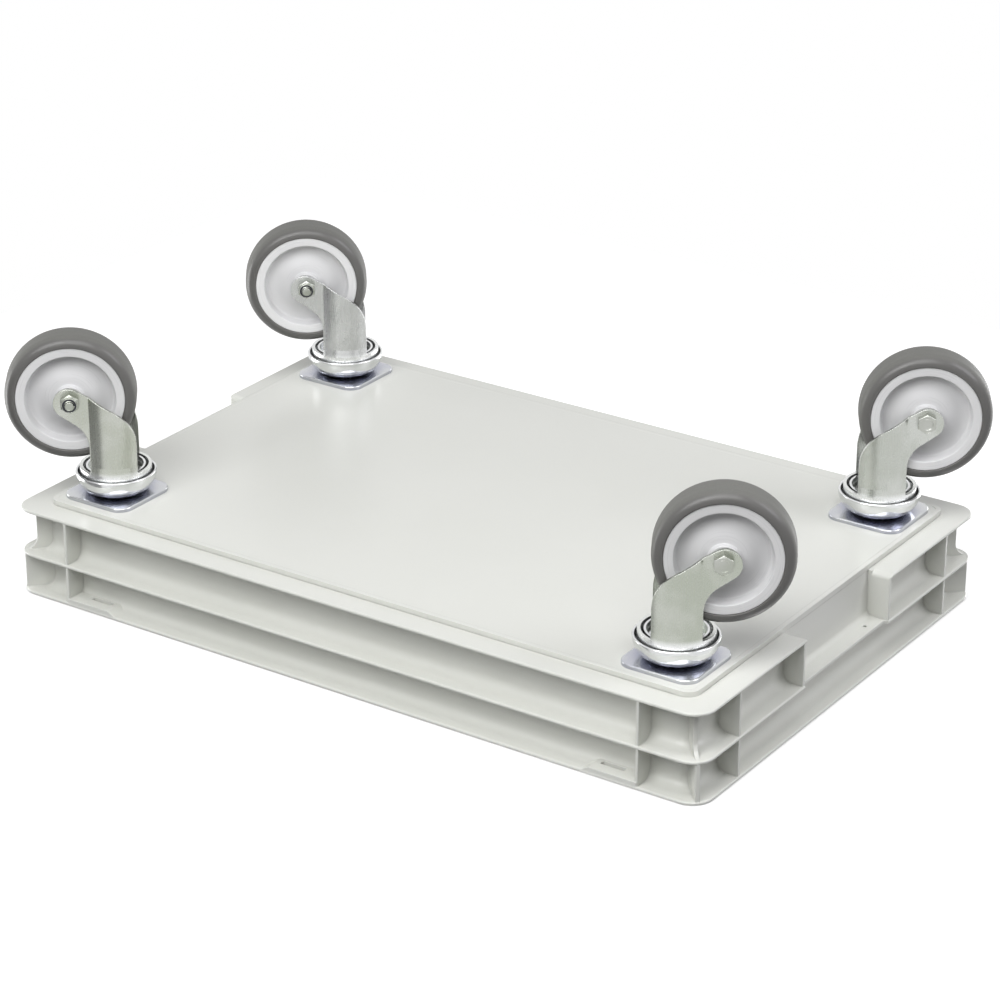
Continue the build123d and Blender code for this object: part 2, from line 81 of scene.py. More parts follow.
# %% Camera below the dolly, rolled over
rim_top = cad_box[1].z
camera_at = Vector((-1.25858, -1.84947, rim_top - 1.08438))
camera_tilt = math.radians(-114.2816)
camera_lean = math.radians(0.0132)
camera_turn = math.radians(145.8498)
camera_lens_mm = 118.69
sensor_width_mm = 36.0

bpy.ops.object.select_all(action="DESELECT")
bpy.ops.object.camera_add(location=camera_at, rotation=(camera_tilt, camera_lean, camera_turn))
camera = bpy.context.object
camera.data.lens = camera_lens_mm
camera.data.sensor_width = sensor_width_mm
camera.data.clip_end = 20.0
bpy.context.scene.camera = camera
print("camera", round((camera_at - middle).length, 2), "m from the dolly")

# %% [markdown]
# ## Node maths in Python
# A finish is a node tree, and wiring dozens of Math nodes by hand hides the idea behind them. The class
# below wraps one socket. Adding, subtracting or multiplying wrapped sockets adds the Math node that does
# it, so `1 - mask` works as it reads. Every other node comes from one method.

# %% A socket that does arithmetic, and a tree that adds nodes
class Signal:
    """One output socket of a node tree. Arithmetic on it adds Math nodes."""

    def __init__(self, wiring, socket):
        self.wiring = wiring
        self.socket = socket

    def math(self, operation, first, second=0.0):
        return self.wiring.node("ShaderNodeMath", {"operation": operation}, {0: first, 1: second})

    def __add__(self, other):
        return self.math("ADD", self, other)

    def __sub__(self, other):
        return self.math("SUBTRACT", self, other)

    def __rsub__(self, other):
        return self.math("SUBTRACT", other, self)

    def __mul__(self, other):
        return self.math("MULTIPLY", self, other)

    def __pow__(self, other):
        return self.math("POWER", self, other)

    def __abs__(self):
        return self.math("ABSOLUTE", self)

    __radd__ = __add__
    __rmul__ = __mul__


class Wiring:
    """A node tree that starts empty, with one method that adds any node."""

    def __init__(self, owner, output):
        owner.use_nodes = True
        self.tree = owner.node_tree
        self.tree.nodes.clear()
        self.output = self.tree.nodes.new(output)

    def node(self, kind, settings=None, sockets=None, output=0):
        """Add a node, set it up, fill its sockets with values or signals, return one output."""
        added = self.tree.nodes.new(kind)
        for name, setting in (settings or {}).items():
            setattr(added, name, setting)
        for socket, value in (sockets or {}).items():
            if isinstance(value, Signal):
                self.tree.links.new(value.socket, added.inputs[socket])
            else:
                added.inputs[socket].default_value = value
        return Signal(self, added.outputs[output])

    def show(self, shader):
        """Send a shader to the tree's output."""
        self.tree.links.new(shader.socket, self.output.inputs["Surface"])


print("node maths ready")

# %% [markdown]
# ## Small tools for finishes
# Most finishes need the same few things: a cloud of noise, a soft step from 0 to 1, a mix of two colours,
# and a soft edge. CAD edges are razor sharp. Real ones are not, and it is the thin bright line on a moulded
# or pressed edge that makes it look real. The Bevel node bends the shading normal near an edge without
# touching the mesh, and the angle by which it bends the normal also tells where the edges are, so wear can
# follow them.

# %% Noise, soft steps, mixes and soft edges
def new_finish(name):
    """A new material, its wiring and its Object coordinates."""
    material = bpy.data.materials.new(name)
    finish = Wiring(material, "ShaderNodeOutputMaterial")
    finish.material = material
    finish.place = finish.node("ShaderNodeTexCoord", output="Object")
    return finish


def noise(finish, scale, detail=2.0, where=None):
    """Cloudy values from 0 to 1. The scale is in clouds per metre."""
    sockets = {"Vector": where or finish.place, "Scale": scale, "Detail": detail}
    return finish.node("ShaderNodeTexNoise", {}, sockets)


def stretched(finish, scale):
    """Object coordinates scaled by a different amount along each axis."""
    return finish.node("ShaderNodeMapping", {}, {"Vector": finish.place, "Scale": scale})


def vector_math(finish, operation, first, second=(0, 0, 0), output="Value"):
    """What a Vector Math node makes of two vectors: a number, or the output named Vector."""
    return finish.node("ShaderNodeVectorMath", {"operation": operation}, {0: first, 1: second}, output)


def height_of(finish):
    """How high a point lies above the floor."""
    return finish.node("ShaderNodeSeparateXYZ", {}, {0: finish.place}, "Z")


def step(finish, value, low, high):
    """0 at low, 1 at high, with a soft climb between."""
    sockets = {"Value": value, "From Min": low, "From Max": high}
    return finish.node("ShaderNodeMapRange", {"interpolation_type": "SMOOTHSTEP"}, sockets)


def mix(finish, share, first, second):
    """A colour between two colours."""
    first = first if isinstance(first, Signal) else (*first, 1.0)
    second = second if isinstance(second, Signal) else (*second, 1.0)
    sockets = {"Factor": share, 6: first, 7: second}
    return finish.node("ShaderNodeMix", {"data_type": "RGBA"}, sockets, 2)


def soft_edges(finish, radius):
    """The rounded normal near edges, and a mask that is 1 on the edges."""
    rounded = finish.node("ShaderNodeBevel", {"samples": 8}, {"Radius": radius})
    plain = finish.node("ShaderNodeNewGeometry", output="Normal")
    cosine = vector_math(finish, "DOT_PRODUCT", rounded, plain)
    return rounded, step(finish, 1 - cosine, 0.01, 0.2)


def crevices(finish, reach):
    """A mask that is 1 deep in corners and 0 on open faces."""
    open_share = finish.node("ShaderNodeAmbientOcclusion", {"samples": 6}, {"Distance": reach}, "AO")
    return step(finish, open_share, 0.75, 0.2)


def bump(finish, height, depth, normal):
    """A normal that follows a height from 0 to 1, over a depth in metres."""
    sockets = {"Strength": 1.0, "Distance": depth, "Height": height, "Normal": normal}
    return finish.node("ShaderNodeBump", {}, sockets)


def surface(finish, **sockets):
    """The finish's material, with its shader's sockets given by name, such as Base_Color."""
    named = {name.replace("_", " "): value for name, value in sockets.items()}
    finish.show(finish.node("ShaderNodeBsdfPrincipled", {}, named))
    return finish.material


def dress(material, *names):
    """Put a finish on CAD nodes in place of their plain materials."""
    for name in names:
        slots = nodes[name].data.materials
        slots.clear()
        slots.append(material)
    print(material.name, "on", len(names), "nodes")


print("finish tools ready")

# %% [markdown]
# ## Tray plastic
# The tray is injection moulded in a warm light grey. Such plastic is never one flat colour: the melt leaves
# faint clouds, the mould's fine spark texture makes it satin and thin edges are rubbed paler. Corners and
# recesses are painted darker as shade, and the rim that it is stood on is painted darker as a contact shadow.
# Each of these is one noise or mask, mixed in weakly. A painted picture could hold them all, but noise in
# object coordinates needs no unwrapping.

# %% Moulded tray
def tray_plastic():
    warm_grey = (0.725, 0.735, 0.690)
    pale_grey = (0.765, 0.772, 0.732)
    flecked = (0.62, 0.62, 0.585)
    recess_shade_grey = (0.46, 0.455, 0.425)
    corner_dark_grey = (0.22, 0.217, 0.20)
    rubbed = (0.86, 0.86, 0.83)
    rim_contact_grey = (0.36, 0.355, 0.34)
    finish = new_finish("tray_plastic")
    rounded, edge = soft_edges(finish, 0.9 * mm)
    cloud = noise(finish, 9, 3)
    fleck = noise(finish, 420, 2)
    # Painted shade: recesses within 20 mm and tight corners within 4 mm are coloured darker, where shade
    # falls.
    recess_shade = crevices(finish, 20 * mm)
    tight_corner_shade = crevices(finish, 4 * mm)
    # Painted shadow: the rim's top millimetre and a half, which meets the bench, is coloured darker as a
    # contact shadow.
    rim_contact_shade = step(finish, height_of(finish), rim_top - 1.5 * mm, rim_top - 0.3 * mm)
    colour = mix(finish, cloud, warm_grey, pale_grey)
    colour = mix(finish, 0.10 * step(finish, fleck, 0.62, 0.75), colour, flecked)
    colour = mix(finish, 0.40 * recess_shade, colour, recess_shade_grey)
    colour = mix(finish, 0.45 * tight_corner_shade, colour, corner_dark_grey)
    colour = mix(finish, 0.45 * edge, colour, rubbed)
    colour = mix(finish, (0.45 + 0.25 * fleck) * rim_contact_shade, colour, rim_contact_grey)
    grain = noise(finish, 2600, 1) + 0.6 * noise(finish, 900, 2)
    rough = 0.27 + 0.12 * recess_shade
    normal = bump(finish, grain, 0.012 * mm, rounded)
    return surface(finish, Base_Color=colour, Roughness=rough, Normal=normal, IOR=1.49)


tray_finish = tray_plastic()
dress(tray_finish, "tray")

# %% [markdown]
# ## Zinc-plated steel
# Every steel piece of a caster is zinc plated and passivated. The film is thin enough to tint what it
# reflects: greenish on the broad fork legs, more so on some than on others. Each fork's tint is also lighter
# or darker, a painted stand-in for how brightly that fork mirrors its surroundings. The plates are bluish,
# and beside the bowls they are painted dark violet, a painted shade and reflection of the bowls. One recipe
# makes
# all of them: a base tint, a second tint that drifts in with slow noise, rolling or pressing marks that
# streak the roughness, darker corners and rubbed bright edges. The tint could be worked out from the film's
# thickness, but two tints and noise are easier to steer.

# %% One recipe for plated steel
def zinc_steel(name, colour, drift, roughness, streak, silver_from=None, painted_shade_reach=None):
    """Plated steel. The streak gives the marks' stretch along each axis.

    It is plain silver above silver_from, and within the given reach of its neighbours it is painted dark
    violet, a painted shade and reflection.
    """
    silver = (0.86, 0.87, 0.87)
    violet_painted_shade = (0.22, 0.23, 0.32)
    corner_dark_grey = (0.16, 0.165, 0.17)
    rubbed = (0.88, 0.89, 0.88)
    finish = new_finish(name)
    rounded, edge = soft_edges(finish, 0.5 * mm)
    cloud = noise(finish, 38, 3)
    mark = noise(finish, 1.0, 3, stretched(finish, streak))
    pit = noise(finish, 1500, 2)
    # Corners within 3 mm of other surfaces are coloured darker and rougher.
    corner_dark = crevices(finish, 3 * mm)
    tint = mix(finish, step(finish, cloud, 0.38, 0.68), colour, drift)
    if silver_from:
        tint = mix(finish, step(finish, height_of(finish), silver_from - 5 * mm, silver_from), tint, silver)
    # Painted shade and reflection: dark violet near neighbouring parts, standing in for their dark mirror
    # image.
    if painted_shade_reach:
        tint = mix(finish, 0.80 * crevices(finish, painted_shade_reach), tint, violet_painted_shade)
    tint = mix(finish, 0.22 * corner_dark, tint, corner_dark_grey)
    tint = mix(finish, 0.35 * edge, tint, rubbed)
    rough = roughness + 0.12 * (mark - 0.5) + 0.08 * (pit - 0.5) + 0.12 * corner_dark
    normal = bump(finish, mark + 0.5 * pit, 0.02 * mm, rounded)
    return surface(finish, Base_Color=tint, Metallic=1.0, Roughness=rough, Normal=normal)


print("zinc recipe ready")

# %% Plated pieces, with a tint for each fork
def each(piece):
    """The names of one caster piece at the four corners."""
    return [f"{corner}_{piece}" for corner in corners]


# Painted reflection: each fork's tint is lighter or darker, standing in for how brightly it mirrors its
# surroundings.
fork_tints_and_painted_brightness = {
    "front_left": ((0.440, 0.467, 0.405), (0.520, 0.540, 0.490)),
    "front_right": ((0.490, 0.510, 0.450), (0.570, 0.585, 0.540)),
    "rear_left": ((0.495, 0.515, 0.475), (0.580, 0.595, 0.565)),
    "rear_right": ((0.580, 0.588, 0.585), (0.640, 0.648, 0.645)),
}
crown_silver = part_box("front_left_upper_race")[0].z - 2 * mm
for corner, (colour, drift) in fork_tints_and_painted_brightness.items():
    fork_zinc = zinc_steel(f"{corner}_fork_zinc", colour, drift, 0.27, (420, 420, 30),
                           silver_from=crown_silver)
    dress(fork_zinc, f"{corner}_fork")
race_zinc = zinc_steel("race_zinc", (0.68, 0.69, 0.695), (0.78, 0.79, 0.79), 0.17, (40, 40, 2600))
plate_zinc = zinc_steel("plate_zinc", (0.62, 0.63, 0.64), (0.54, 0.55, 0.60), 0.16, (500, 40, 40),
                        painted_shade_reach=24 * mm)
screw_zinc = zinc_steel("screw_zinc", (0.40, 0.42, 0.37), (0.49, 0.50, 0.47), 0.24, (300, 300, 300))
dress(race_zinc, *each("upper_race"), *each("lower_race"))
dress(plate_zinc, *each("plate"), "mounting_washers")
dress(screw_zinc, *each("king_pin"), *each("axle_sleeve"))

# %% [markdown]
# ## Hexagons, nuts and threads
# Bolt heads and nuts are hexagons whose corners are turned off by a cone, which leaves a curved edge on
# every flat. A Bevel modifier would cut the corners straight, so the hexagon is crossed with a wide cone
# and only what lies in both is kept. A thread is one small profile that a Screw modifier sweeps round and
# along at the same time; its two ends are then filled.

# %% Working on one piece at a time
def work_on(piece):
    """Select one piece alone and make it active."""
    bpy.ops.object.select_all(action="DESELECT")
    piece.select_set(True)
    bpy.context.view_layer.objects.active = piece
    return piece


def applied(piece, kind, **settings):
    """Put a modifier on a piece and apply it."""
    modifier = work_on(piece).modifiers.new(kind, kind)
    for name, setting in settings.items():
        setattr(modifier, name, setting)
    bpy.ops.object.modifier_apply(modifier=modifier.name)
    return piece


def combined(piece, operation, tool):
    """Join, cut or cross a piece with a tool, which is used up."""
    applied(piece, "BOOLEAN", object=tool, operation=operation, solver="EXACT")
    bpy.data.objects.remove(tool)
    return piece


def joined(pieces):
    """Several pieces as one, with its place in its mesh."""
    work_on(pieces[0])
    for piece in pieces:
        piece.select_set(True)
    bpy.ops.object.join()
    bpy.ops.object.transform_apply(location=True, rotation=True, scale=True)
    bpy.ops.object.shade_smooth_by_angle(angle=math.radians(28))
    return bpy.context.object


def copied(model, place):
    """A copy of a piece with its own mesh, put in its place."""
    work_on(model)
    bpy.ops.object.duplicate()
    bpy.context.object.matrix_world = place
    bpy.ops.object.transform_apply(location=True, rotation=True, scale=True)
    return bpy.context.object


def fitted(piece, name, body, material):
    """Finish a new piece: its name, its material and slot, and the body that it rides on."""
    piece.name = name
    piece.data.materials.append(material)
    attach(piece, body)
    return piece


def screwed(piece, node, body):
    """Finish a bolt or nut that stands for a CAD node."""
    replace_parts(fitted(piece, f"{node}_turned", body, screw_zinc), node)


print("piece tools ready")

# %% Rods, hexagons and threads
past = 1 * mm


def rod(radius, low, high, sides=48, top_radius=None):
    """A rod along Z from low to high. It tapers if it has another radius at the top."""
    bpy.ops.object.select_all(action="DESELECT")
    bpy.ops.mesh.primitive_cone_add(vertices=sides, radius1=radius, radius2=top_radius or radius,
                                    depth=high - low, location=(0, 0, (low + high) / 2))
    return bpy.context.object


def hexagon(flats, low, high):
    """A hexagon along Z with its corners turned off at the top."""
    face_r = 0.475 * flats
    flare = (high - low + past) * math.sqrt(3)
    cone = rod(face_r + flare, low - past, high + past, 96, face_r - past * math.sqrt(3))
    return combined(rod(flats / math.sqrt(3), low, high, 6), "INTERSECT", cone)


def thread_depth(pitch):
    """How deep a metric thread is cut."""
    return 0.61 * pitch


def thread(radius, pitch, low, high):
    """A ridge that winds round Z, with closed ends."""
    root = radius - 1.2 * thread_depth(pitch)
    bpy.ops.object.select_all(action="DESELECT")
    bpy.ops.mesh.primitive_plane_add(size=pitch)
    ridge = bpy.context.object
    profile = ((root, 0.02), (radius, 0.42), (root, 0.98), (radius, 0.58))
    for vertex, (out, share) in zip(ridge.data.vertices, profile):
        vertex.co = (out, 0, low + share * pitch)
    bpy.ops.object.mode_set(mode="EDIT")
    bpy.ops.mesh.select_all(action="SELECT")
    bpy.ops.mesh.delete(type="ONLY_FACE")
    bpy.ops.object.mode_set(mode="OBJECT")
    turns = int((high - low) / pitch) - 1
    applied(ridge, "SCREW", axis="Z", angle=2 * math.pi, screw_offset=pitch, iterations=turns,
            steps=24, render_steps=24)
    bpy.ops.object.mode_set(mode="EDIT")
    bpy.ops.mesh.select_all(action="SELECT")
    bpy.ops.mesh.remove_doubles(threshold=0.01 * mm)
    bpy.ops.mesh.fill_holes(sides=4)
    bpy.ops.mesh.normals_make_consistent(inside=False)
    bpy.ops.object.mode_set(mode="OBJECT")
    return ridge


print("a thread with a pitch of 1.25 mm is", round(thread_depth(1.25), 3), "mm deep")

# %% [markdown]
# ### Bolts and locking nuts on the axles
# A bolt is a hexagon with a dished top, a plain shank, a thinner core and the thread round it. The axles
# are M8 bolts with locking nuts, whose round collar grips the dark ring. Each is modelled once about Z and
# copied to the places that the wheels' joints give.

# %% Axle bolts and locking nuts, M8
def bolt(diameter, pitch, flats, head, shank, plain):
    """A bolt along Z with its head on Z = 0. The shank goes down and is threaded after its plain stretch."""
    lap = 0.5 * mm
    tip = 0.7 * mm
    dish_depth = 0.35 * mm
    radius = diameter / 2
    core = rod(radius - thread_depth(pitch), -shank, lap - plain)
    applied(core, "BEVEL", width=0.6 * mm, segments=2)
    ridge = thread(radius, pitch, -shank + tip, -plain)
    dish = rod(0.30 * flats, head - dish_depth, head + past, 48, 0.47 * flats)
    top = combined(hexagon(flats, 0, head), "DIFFERENCE", dish)
    return joined([top, rod(radius, -plain, lap), core, ridge])


def locking_nut(flats, height, collar_r, ring_r, ring_t, bore_r):
    """A nut on Z = 0 with a round collar at its top, open for the ring."""
    shoulder = 0.68 * height
    collar = applied(rod(collar_r, shoulder - past, height), "BEVEL", width=0.5 * mm, segments=3)
    body = combined(hexagon(flats, 0, shoulder), "UNION", collar)
    combined(body, "DIFFERENCE", rod(bore_r, -past, height + past))
    return joined([combined(body, "DIFFERENCE", rod(ring_r, height - ring_t, height + past))])


def along_axle(corner):
    """The place of a wheel's axle: Z along it, Y up."""
    roll = joints[f"{corner}_roll"]
    along = Vector(roll["axis"])
    up = Vector((0, 0, 1))
    return Matrix.Translation(roll["pos_m"]) @ Matrix((up.cross(along), up, along)).transposed().to_4x4()


leg_outer = 19.0 * mm
axle_flats = 13 * mm
axle_nut_t = 7.6 * mm
axle_tail = 1.6 * mm
axle_plain = 2 * leg_outer + 1 * mm
axle_shank = 2 * leg_outer + axle_nut_t + axle_tail
seat = Matrix.Translation((0, 0, leg_outer))
turned = Matrix.Rotation(math.pi, 4, "X")
axle_bolt = bolt(diameter=8 * mm, pitch=1.25 * mm, flats=axle_flats, head=5.3 * mm, shank=axle_shank,
                 plain=axle_plain)
axle_nut = locking_nut(flats=axle_flats, height=axle_nut_t, collar_r=5.9 * mm, ring_r=5.3 * mm,
                       ring_t=1.9 * mm, bore_r=4.05 * mm)
for corner in corners:
    axle = along_axle(corner)
    head = copied(axle_bolt, axle @ seat)
    screwed(head, f"{corner}_axle_bolt", f"{corner}_fork")
    tail = copied(axle_nut, axle @ turned @ seat)
    screwed(tail, f"{corner}_axle_nut", f"{corner}_fork")
print("axle bolt", len(axle_bolt.data.polygons), "faces, locking nut", len(axle_nut.data.polygons), "faces")
bpy.data.objects.remove(axle_bolt)
bpy.data.objects.remove(axle_nut)

# %% [markdown]
# ### Bolts and nuts through the tray
# The casters' own bolts are M10, with plain nuts inside the tray. Such a nut has its corners turned off at
# both ends, so it is one hexagon crossed with another that is upside down. The four of each are one piece,
# as the CAD part has them, and they stand on the casters' swivel joints.

# %% Mounting bolts and nuts, M10
def plain_nut(flats, height, bore_r):
    """A nut on Z = 0 with its corners turned off at both ends."""
    half = height / 2
    body = hexagon(flats, -half, half)
    other = hexagon(flats, -half, half)
    other.matrix_world = turned @ other.matrix_world
    combined(body, "INTERSECT", other)
    body.location.z += half
    return joined([combined(body, "DIFFERENCE", rod(bore_r, -past, height + past))])


bolts_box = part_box("mounting_bolts")
nuts_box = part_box("mounting_nuts")
nut_low = nuts_box[0].z
mounting_flats = 17 * mm
mounting_head = 6.4 * mm
head_seat = bolts_box[0].z + mounting_head
mounting_bolt = bolt(diameter=10 * mm, pitch=1.5 * mm, flats=mounting_flats, head=mounting_head,
                     shank=bolts_box[1].z - head_seat, plain=nut_low - head_seat)
mounting_nut = plain_nut(flats=mounting_flats, height=nuts_box[1].z - nut_low, bore_r=5.05 * mm)
centres = [Vector(joints[f"{corner}_swivel"]["pos_m"]).to_2d() for corner in corners]
bolt_set = [copied(mounting_bolt, Matrix.Translation((*centre, head_seat)) @ turned) for centre in centres]
nut_set = [copied(mounting_nut, Matrix.Translation((*centre, nut_low))) for centre in centres]
screwed(joined(bolt_set), "mounting_bolts", "tray")
screwed(joined(nut_set), "mounting_nuts", "tray")
print("mounting bolt", len(mounting_bolt.data.polygons), "faces")
print("mounting nut", len(mounting_nut.data.polygons), "faces")
bpy.data.objects.remove(mounting_bolt)
bpy.data.objects.remove(mounting_nut)

# %% [markdown]
# ## Bearing balls and the locking ring
# The balls are ground steel with a film of grease, so they are bright and slightly yellow. The ring in each
# locking nut is dark nylon, which the bolt's thread has cut into. The grease could be a clear coat, but so
# thin a film mostly tints the mirror image, so it is a second tint that noise mixes in.

# %% Greased balls and dark nylon
def bearing_steel():
    bright = (0.62, 0.62, 0.60)
    greased = (0.46, 0.41, 0.30)
    finish = new_finish("bearing_steel")
    film = noise(finish, 300, 2)
    tint = mix(finish, step(finish, film, 0.4, 0.7), bright, greased)
    return surface(finish, Base_Color=tint, Metallic=1.0, Roughness=0.12 + 0.2 * film)


def locking_nylon():
    black = (0.012, 0.013, 0.016)
    smeared = (0.035, 0.037, 0.045)
    rubbed = (0.10, 0.10, 0.11)
    finish = new_finish("locking_nylon")
    rounded, edge = soft_edges(finish, 0.25 * mm)
    smear = noise(finish, 900, 2)
    tint = mix(finish, smear, black, smeared)
    tint = mix(finish, 0.15 * edge, tint, rubbed)
    normal = bump(finish, smear, 0.03 * mm, rounded)
    return surface(finish, Base_Color=tint, Roughness=0.50 + 0.15 * smear, Normal=normal)


dress(bearing_steel(), *each("upper_balls"), *each("lower_balls"))
dress(locking_nylon(), *each("nut_insert"))

# %% [markdown]
# ## Wheels and tyres
# A wheel's marks run round its axle: the rings turned into its mould, a dusty tread, the line where the two
# halves of the tyre's mould met. The web inside the clean land, and the wheel's recesses, are painted darker
# as shade. Object coordinates know nothing of the axle, so each wheel gets its own finish, in which the
# distance along the axle and the distance from it come from the wheel's joint.

# %% Finishes that run round an axle
def about_axle(finish, corner):
    """How far along a wheel's axle a point lies from its middle, and how far from the axle."""
    roll = joints[f"{corner}_roll"]
    arm = vector_math(finish, "SUBTRACT", finish.place, roll["pos_m"], "Vector")
    along = vector_math(finish, "DOT_PRODUCT", arm, roll["axis"])
    reach = vector_math(finish, "LENGTH", arm)
    return abs(along), (reach**2 - along**2) ** 0.5


def wheel_plastic(corner):
    light_grey = (0.79, 0.79, 0.80)
    pale_grey = (0.84, 0.84, 0.845)
    web_shade_grey = (0.64, 0.64, 0.65)
    recess_shade_grey = (0.36, 0.355, 0.35)
    rubbed = (0.92, 0.92, 0.92)
    finish = new_finish(f"{corner}_wheel_plastic")
    rounded, edge = soft_edges(finish, 0.6 * mm)
    out = about_axle(finish, corner)[1]
    cloud = noise(finish, 45, 3)
    ring_sockets = {"W": out, "Scale": 900, "Detail": 1}
    ring = finish.node("ShaderNodeTexNoise", {"noise_dimensions": "1D"}, ring_sockets)
    # Painted shade: the web inside the land and the recesses within 8 mm of a wall are coloured darker, where
    # shade falls.
    recess_shade = crevices(finish, 8 * mm)
    web_shade = step(finish, out, 34.0 * mm, 33.2 * mm)
    tint = mix(finish, cloud, light_grey, pale_grey)
    tint = mix(finish, 0.60 * web_shade, tint, web_shade_grey)
    tint = mix(finish, 0.48 * recess_shade, tint, recess_shade_grey)
    tint = mix(finish, 0.35 * edge, tint, rubbed)
    rough = 0.22 + 0.08 * cloud + 0.06 * ring + 0.15 * recess_shade
    normal = bump(finish, ring + 0.3 * cloud, 0.01 * mm, rounded)
    return surface(finish, Base_Color=tint, Roughness=rough, Normal=normal)


def tyre_rubber(corner):
    dark_grey = (0.118, 0.116, 0.112)
    mid_grey = (0.142, 0.140, 0.134)
    tread_grey = (0.165, 0.166, 0.154)
    gritty = (0.25, 0.248, 0.225)
    rubbed = (0.22, 0.22, 0.21)
    finish = new_finish(f"{corner}_tyre_rubber")
    rounded, edge = soft_edges(finish, 0.6 * mm)
    along, out = about_axle(finish, corner)
    cloud = noise(finish, 60, 3)
    grit = noise(finish, 1400, 2)
    tread = step(finish, out, 46.0 * mm, 48.1 * mm)
    seam = step(finish, along, 0.45 * mm, 0.15 * mm) * tread
    tint = mix(finish, cloud, dark_grey, mid_grey)
    tint = mix(finish, 0.8 * tread, tint, tread_grey)
    tint = mix(finish, 0.25 * tread * step(finish, grit, 0.5, 0.7), tint, gritty)
    tint = mix(finish, 0.3 * edge, tint, rubbed)
    rough = 0.26 + 0.30 * tread + 0.06 * cloud
    normal = bump(finish, seam + 0.10 * grit, 0.12 * mm, rounded)
    return surface(finish, Base_Color=tint, Roughness=rough, Normal=normal, Specular_IOR_Level=0.40)


print("wheel and tyre finishes ready")

# %% [markdown]
# ### Turning the wheels
# A wheel and its tyre are rings. Half of a ring's section is a list of points, which is mirrored into a
# loop, and a Screw modifier sweeps the loop once round the axle. A wheel's face is hollow: a lip inside the
# flat land, a steep wall with a small root, and a web that swells up to the hub. The tyre's shoulders are
# quarter ellipses. The section could be spun in edit mode too, but a modifier takes its axis from the piece
# itself.

# %% Arcs, and rings spun from a section
def arc(centre, reach, start, end, count=16):
    """Points (out, along) on an ellipse between two angles, which are measured from the outward direction."""
    points = []
    for number in range(count + 1):
        angle = math.radians(start + (end - start) * number / count)
        points.append((centre[0] + reach[0] * math.cos(angle), centre[1] + reach[1] * math.sin(angle)))
    return points


def spun(half):
    """A ring about Z from half of its section."""
    loop = half + [(out, -along) for out, along in reversed(half)]
    bpy.ops.object.select_all(action="DESELECT")
    bpy.ops.mesh.primitive_circle_add(vertices=len(loop))
    ring = bpy.context.object
    for vertex, (out, along) in zip(ring.data.vertices, loop):
        vertex.co = (out, 0, along)
    applied(ring, "SCREW", axis="Z", screw_offset=0, steps=128, render_steps=128, use_merge_vertices=True)
    bpy.ops.object.mode_set(mode="EDIT")
    bpy.ops.mesh.select_all(action="SELECT")
    bpy.ops.mesh.normals_make_consistent(inside=False)
    bpy.ops.object.mode_set(mode="OBJECT")
    return joined([ring])


print("a quarter arc has", len(arc((0, 0), (1, 1), 0, 90)), "points")

# %% Half sections of a wheel and a tyre
rim_r = 40.4 * mm
rim_half = 14.2 * mm
rim_edge = 0.4 * mm
rim_seat_half = 5 * mm
lip_r = 0.6 * mm
lip_out = 34.2 * mm
wall_lean = 80
root_r = 1.8 * mm
root_out = 30.6 * mm
web_half = 6.9 * mm
web_steps = 16
web_swell = 1.15
hub_rise = 4.8 * mm
hub_foot = 12.6 * mm
hub_out = 10.8 * mm
hub_half = 16.0 * mm
hub_edge = 0.4 * mm
bore_r = 6.06 * mm
hub_low = web_half + hub_rise
fillet_out = 0.5 * mm
fillet_low = 0.3 * mm
fillet_high = 1.2 * mm
wheel_half = [(rim_r, rim_seat_half), (rim_r, rim_half - rim_edge), (rim_r - rim_edge, rim_half)]
wheel_half += arc((lip_out, rim_half - lip_r), (lip_r, lip_r), 90, 90 + wall_lean, 6)
wheel_half += arc((root_out, web_half + root_r), (root_r, root_r), wall_lean - 90, -90, 10)
for number in range(1, web_steps + 1):
    share = number / web_steps
    climb = (1 - math.cos(math.pi * share**web_swell)) / 2
    wheel_half.append((root_out + share * (hub_foot - root_out), web_half + climb * hub_rise))
wheel_half += [(hub_out + fillet_out, hub_low + fillet_low), (hub_out, hub_low + fillet_high)]
wheel_half += [(hub_out, hub_half - hub_edge), (hub_out - hub_edge, hub_half), (bore_r, hub_half)]

tyre_r = 48.5 * mm
tread_mid = 2 * mm
tread_half = 6 * mm
shoulder_reach = (7.6 * mm, 9 * mm)
tyre_foot_half = 14.6 * mm
tyre_half = [(tyre_r, tread_mid)]
tyre_half += arc((tyre_r - shoulder_reach[0], tread_half), shoulder_reach, 0, 90, 24)
tyre_half += [(rim_r, tyre_foot_half)]
print("half sections with", len(wheel_half), "and", len(tyre_half), "points")

# %% A wheel and a tyre at each corner
wheel_model = spun(wheel_half)
tyre_model = spun(tyre_half)
for corner in corners:
    rim = copied(wheel_model, along_axle(corner))
    fitted(rim, f"{corner}_wheel_spun", f"{corner}_wheel", wheel_plastic(corner))
    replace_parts(rim, f"{corner}_wheel")
    rubber = copied(tyre_model, along_axle(corner))
    fitted(rubber, f"{corner}_tyre_spun", f"{corner}_wheel", tyre_rubber(corner))
    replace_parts(rubber, f"{corner}_tyre")
print("wheel", len(wheel_model.data.polygons), "faces, tyre", len(tyre_model.data.polygons), "faces")
bpy.data.objects.remove(wheel_model)
bpy.data.objects.remove(tyre_model)

# %% [markdown]
# ## Foot edge
# The underside panel stands proud of the base flange by a low step with a crisp edge, which frames the
# panel in the picture. The CAD solid rounds that edge off. A ring of the same plastic squares it up: a
# plane with rounded corners, inset and hollowed, and pulled up into the flange. The edge could be cut into
# the tray's mesh, but a ring leaves the CAD node as it is.

